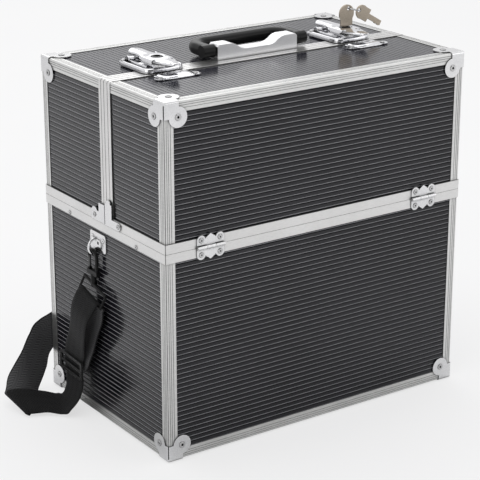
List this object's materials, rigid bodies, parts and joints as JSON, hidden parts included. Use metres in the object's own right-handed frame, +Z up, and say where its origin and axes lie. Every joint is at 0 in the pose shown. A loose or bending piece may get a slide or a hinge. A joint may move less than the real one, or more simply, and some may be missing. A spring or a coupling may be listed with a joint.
{
  "type": "makeup case",
  "caption": "Tall hard case with outward-opening front and rear lids, cantilever trays, aluminium edges, key latches, folding handle and shoulder strap.",
  "frame": {"origin": "middle of the footprint, on the floor plane under the corner caps", "axes": "+X along the width, to the right seen from the front; +Y from front to rear; +Z up"},
  "size_m": [0.5012, 0.2398, 0.3963],
  "materials": {
    "ribbed_black": "satin, ribbed",
    "edge_aluminium": "satin, grooved",
    "band_aluminium": "satin",
    "cap_steel": "bright satin",
    "rivet_steel": "polished",
    "latch_chrome": "polished",
    "edging_black": "matte",
    "tray_black": "fine grain",
    "arm_steel": "zinc plated",
    "webbing_black": "woven",
    "buckle_black": "satin",
    "grip_black": "soft satin",
    "key_nickel": "nickel plated, warm",
    "gate_steel": "polished"
  },
  "bodies": {
    "base": {"base_front_board": "ribbed_black", "base_rear_board": "ribbed_black", "base_end_boards": "ribbed_black", "base_bottom_board": "ribbed_black", "base_edges": "edge_aluminium", "base_rim": "band_aluminium", "base_caps": "cap_steel", "base_rivets": "rivet_steel", "base_hinge_leaves": "cap_steel", "hinge_pins": "rivet_steel", "arm_pivots": "rivet_steel", "strap_brackets": "cap_steel", "snap_hooks": "buckle_black", "shoulder_strap": "webbing_black", "strap_adjuster": "buckle_black"},
    "front_lid": {"front_lid_board": "ribbed_black", "front_lid_top_board": "ribbed_black", "front_lid_end_boards": "ribbed_black", "front_lid_edges": "edge_aluminium", "front_lid_seam_edging": "edging_black", "front_lid_rim": "band_aluminium", "front_lid_caps": "cap_steel", "front_lid_rivets": "rivet_steel", "front_lid_hinge_leaves": "cap_steel", "front_lid_angle_plates": "cap_steel", "latch_catches": "latch_chrome", "front_tray_links": "arm_steel"},
    "rear_lid": {"rear_lid_board": "ribbed_black", "rear_lid_top_board": "ribbed_black", "rear_lid_end_boards": "ribbed_black", "rear_lid_edges": "edge_aluminium", "rear_lid_seam_strip": "band_aluminium", "rear_lid_rim": "band_aluminium", "rear_lid_caps": "cap_steel", "rear_lid_rivets": "rivet_steel", "rear_lid_hinge_leaves": "cap_steel", "rear_lid_angle_plates": "cap_steel", "rear_tray_links": "arm_steel", "latch_bases": "latch_chrome", "latch_pins": "rivet_steel", "handle_bracket": "latch_chrome"},
    "front_arms": {"front_arms": "arm_steel"},
    "rear_arms": {"rear_arms": "arm_steel"},
    "front_lower_tray": {"front_lower_tray": "tray_black"},
    "front_upper_tray": {"front_upper_tray": "tray_black"},
    "rear_lower_tray": {"rear_lower_tray": "tray_black"},
    "rear_upper_tray": {"rear_upper_tray": "tray_black"},
    "carry_handle": {"carry_handle": "grip_black"},
    "left_lever": {"latch_lever_left": "latch_chrome"},
    "right_lever": {"latch_lever_right": "latch_chrome"},
    "left_lock": {"lock_plug_left": "gate_steel"},
    "right_lock": {"lock_plug_right": "gate_steel", "lock_key": "key_nickel", "key_ring": "rivet_steel", "spare_key": "key_nickel"},
    "left_gate": {"snap_gate_left": "gate_steel"},
    "right_gate": {"snap_gate_right": "gate_steel"}
  },
  "joints": [
    {"name": "front_lid_hinge", "type": "hinge", "parent": "base", "child": "front_lid", "pos_m": [0, -0.1182, 0.21465], "axis": [1, 0, 0], "range_deg": [0, 90]},
    {"name": "front_arm_swing", "type": "hinge", "parent": "base", "child": "front_arms", "pos_m": [0, -0.0642, 0.2076], "axis": [1, 0, 0], "range_deg": [0, 90]},
    {"name": "front_lower_tray_pivot", "type": "hinge", "parent": "front_arms", "child": "front_lower_tray", "pos_m": [0, -0.04299, 0.22881], "axis": [1, 0, 0], "range_deg": [-90, 0]},
    {"name": "front_upper_tray_pivot", "type": "hinge", "parent": "front_arms", "child": "front_upper_tray", "pos_m": [0, -0.00551, 0.26629], "axis": [1, 0, 0], "range_deg": [-90, 0]},
    {"name": "rear_lid_hinge", "type": "hinge", "parent": "base", "child": "rear_lid", "pos_m": [0, 0.1182, 0.21465], "axis": [-1, 0, 0], "range_deg": [0, 90]},
    {"name": "rear_arm_swing", "type": "hinge", "parent": "base", "child": "rear_arms", "pos_m": [0, 0.0642, 0.2076], "axis": [-1, 0, 0], "range_deg": [0, 90]},
    {"name": "rear_lower_tray_pivot", "type": "hinge", "parent": "rear_arms", "child": "rear_lower_tray", "pos_m": [0, 0.04299, 0.22881], "axis": [-1, 0, 0], "range_deg": [-90, 0]},
    {"name": "rear_upper_tray_pivot", "type": "hinge", "parent": "rear_arms", "child": "rear_upper_tray", "pos_m": [0, 0.00551, 0.26629], "axis": [-1, 0, 0], "range_deg": [-90, 0]},
    {"name": "handle_fold", "type": "hinge", "parent": "rear_lid", "child": "carry_handle", "pos_m": [0, 0, 0.3694], "axis": [1, 0, 0], "range_deg": [0, 90]},
    {"name": "left_latch_lift", "type": "hinge", "parent": "rear_lid", "child": "left_lever", "pos_m": [-0.1156, 0.027, 0.3665], "axis": [-1, 0, 0], "range_deg": [0, 22]},
    {"name": "left_lock_turn", "type": "hinge", "parent": "left_lever", "child": "left_lock", "pos_m": [-0.1156, -0.0015, 0.37], "axis": [0, 0, 1], "range_deg": [0, 90]},
    {"name": "left_gate_spring", "type": "hinge", "parent": "base", "child": "left_gate", "pos_m": [-0.1838, 0.022, 0.1617], "axis": [1, 0, 0], "range_deg": [0, 28], "stiffness_Nm_per_rad": 0.02, "springref_deg": -17.19},
    {"name": "right_latch_lift", "type": "hinge", "parent": "rear_lid", "child": "right_lever", "pos_m": [0.1156, 0.027, 0.3665], "axis": [-1, 0, 0], "range_deg": [0, 22]},
    {"name": "right_lock_turn", "type": "hinge", "parent": "right_lever", "child": "right_lock", "pos_m": [0.1156, -0.0015, 0.37], "axis": [0, 0, -1], "range_deg": [0, 90]},
    {"name": "right_gate_spring", "type": "hinge", "parent": "base", "child": "right_gate", "pos_m": [0.1838, 0.022, 0.1617], "axis": [1, 0, 0], "range_deg": [0, 28], "stiffness_Nm_per_rad": 0.02, "springref_deg": -17.19}
  ],
  "couplings": [
    {"joint": "front_arm_swing", "follows": "front_lid_hinge", "ratio": 1},
    {"joint": "front_lower_tray_pivot", "follows": "front_lid_hinge", "ratio": -1},
    {"joint": "front_upper_tray_pivot", "follows": "front_lid_hinge", "ratio": -1},
    {"joint": "rear_arm_swing", "follows": "rear_lid_hinge", "ratio": 1},
    {"joint": "rear_lower_tray_pivot", "follows": "rear_lid_hinge", "ratio": -1},
    {"joint": "rear_upper_tray_pivot", "follows": "rear_lid_hinge", "ratio": -1}
  ]
}
